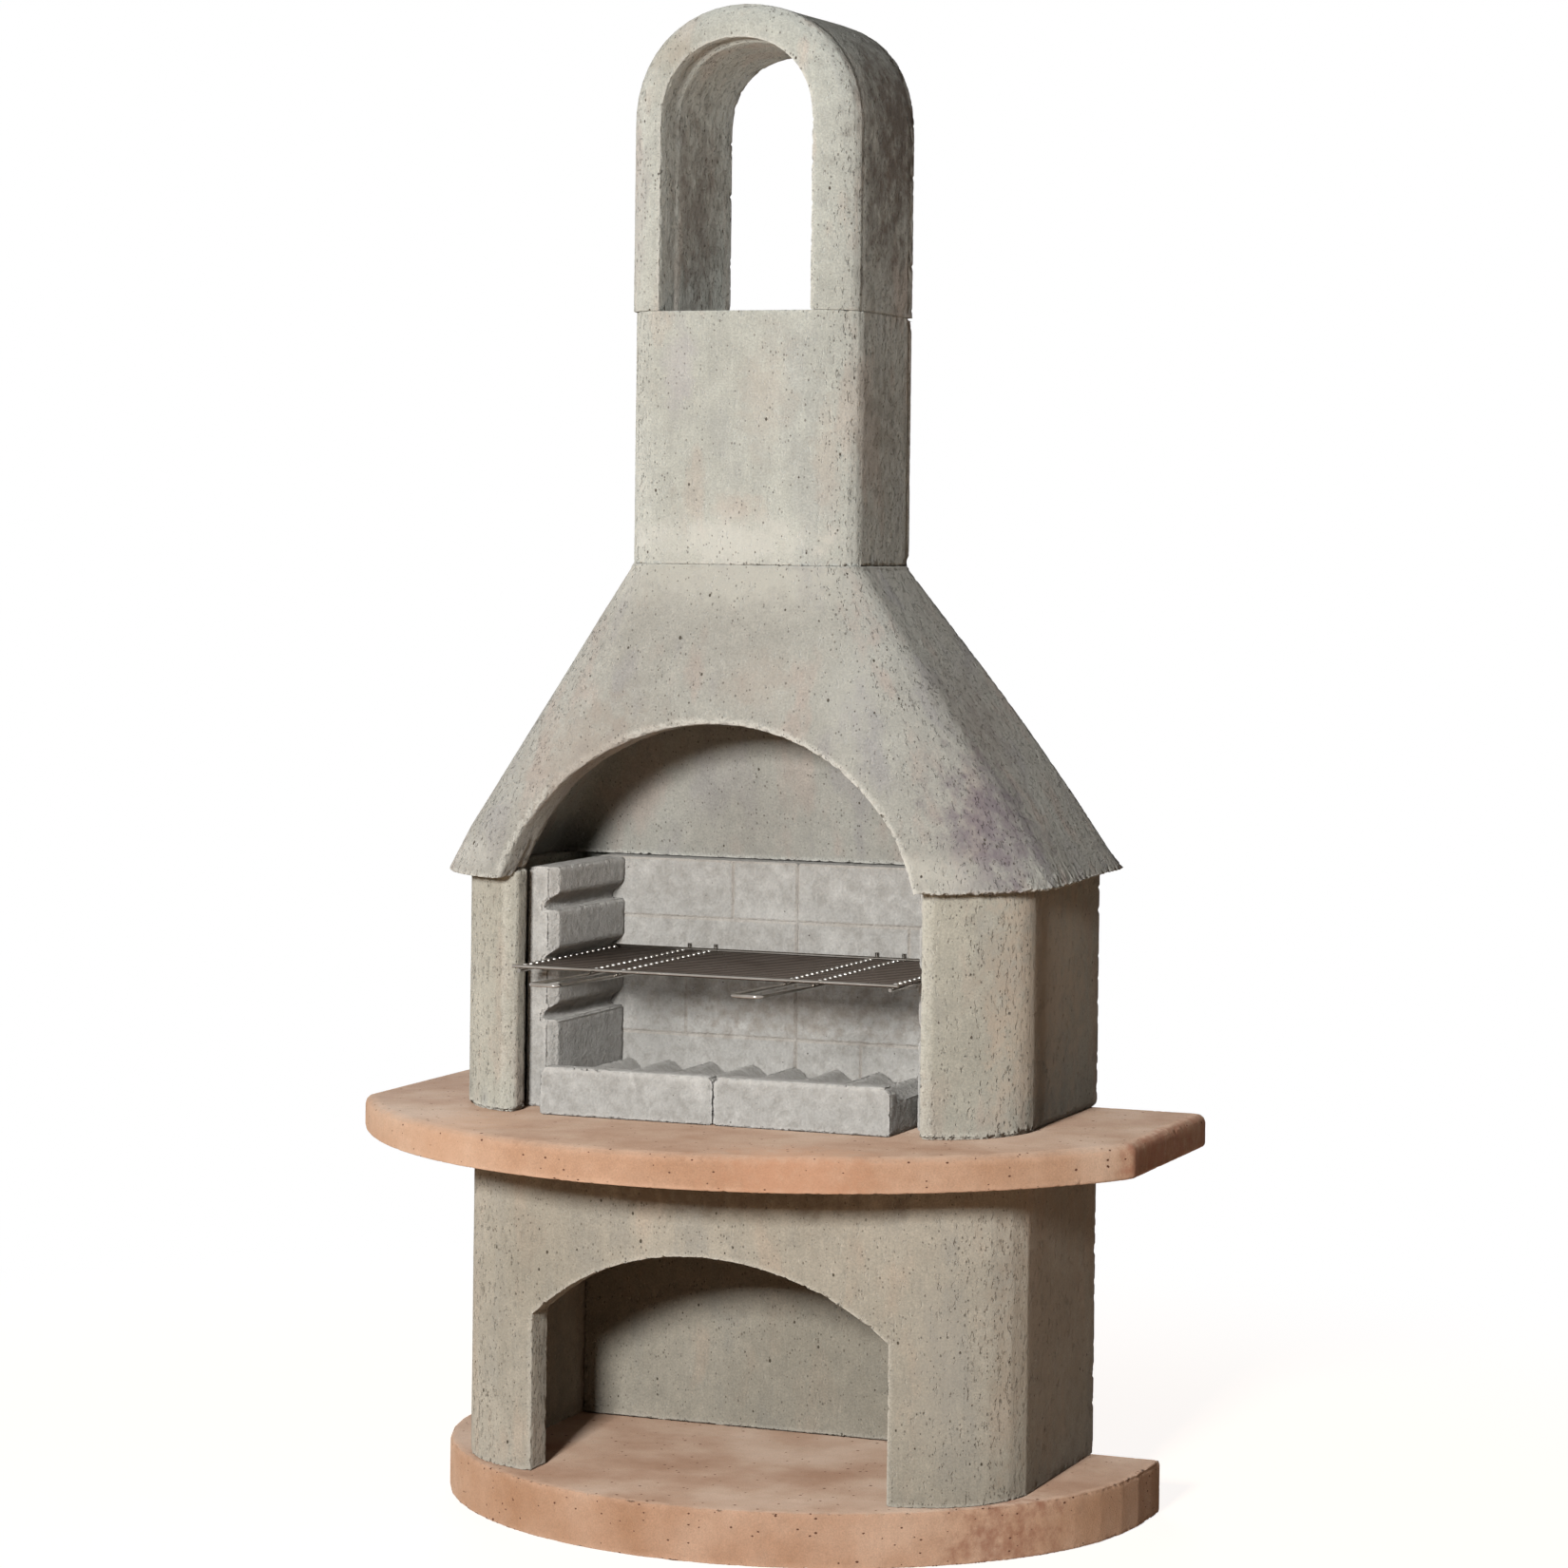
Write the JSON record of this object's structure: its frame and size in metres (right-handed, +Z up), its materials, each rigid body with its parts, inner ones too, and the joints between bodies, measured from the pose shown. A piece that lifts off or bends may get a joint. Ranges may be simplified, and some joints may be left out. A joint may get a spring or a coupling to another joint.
{
  "type": "outdoor masonry barbecue",
  "caption": "Free-standing concrete barbecue with an arched fuel store, bow-fronted worktop, firebrick hearth, sliding wire grate, arched hood and capped chimney.",
  "frame": {"origin": "on the ground, under the middle of the worktop's bounding box", "axes": "+Z up, -Y towards the cook at the open front, +X to that cook's right"},
  "size_m": [1.096, 0.67, 2.01],
  "materials": {
    "terracotta_concrete": "through-coloured cast concrete, fine grain, matt",
    "greenish_concrete": "cast, fine pores, matt",
    "grey_concrete": "cast, fine pores, matt",
    "firebrick": "pale grey pressed fire clay, matt",
    "chromed_wire": "bright plated"
  },
  "bodies": {
    "masonry": {"base_plate": "terracotta_concrete", "plinth_shell": "greenish_concrete", "plinth_rear_panel": "greenish_concrete", "worktop": "terracotta_concrete", "firebox_wall_left": "grey_concrete", "firebox_wall_right": "grey_concrete", "firebox_rear_panel": "grey_concrete", "back_brick_left": "firebrick", "back_brick_right": "firebrick", "side_brick_left": "firebrick", "side_brick_right": "firebrick", "hearth_brick_left": "firebrick", "hearth_brick_right": "firebrick", "hood": "grey_concrete", "chimney_section": "grey_concrete", "chimney_cap": "grey_concrete"},
    "grate": {"grate_front_rod": "chromed_wire", "grate_rear_rod": "chromed_wire", "grate_bar_01": "chromed_wire", "grate_bar_02": "chromed_wire", "grate_bar_03": "chromed_wire", "grate_bar_04": "chromed_wire", "grate_bar_05": "chromed_wire", "grate_bar_06": "chromed_wire", "grate_bar_07": "chromed_wire", "grate_bar_08": "chromed_wire", "grate_bar_09": "chromed_wire", "grate_bar_10": "chromed_wire", "grate_bar_11": "chromed_wire", "grate_bar_12": "chromed_wire", "grate_bar_13": "chromed_wire", "grate_bar_14": "chromed_wire", "grate_bar_15": "chromed_wire", "grate_bar_16": "chromed_wire", "grate_bar_17": "chromed_wire", "grate_side_rod_left": "chromed_wire", "grate_side_rod_right": "chromed_wire", "grate_handle_left": "chromed_wire", "grate_handle_right": "chromed_wire"}
  },
  "joints": [
    {"name": "grate_slide", "type": "slide", "parent": "masonry", "child": "grate", "axis": [0, -1, 0], "range_m": [0, 0.15]}
  ]
}
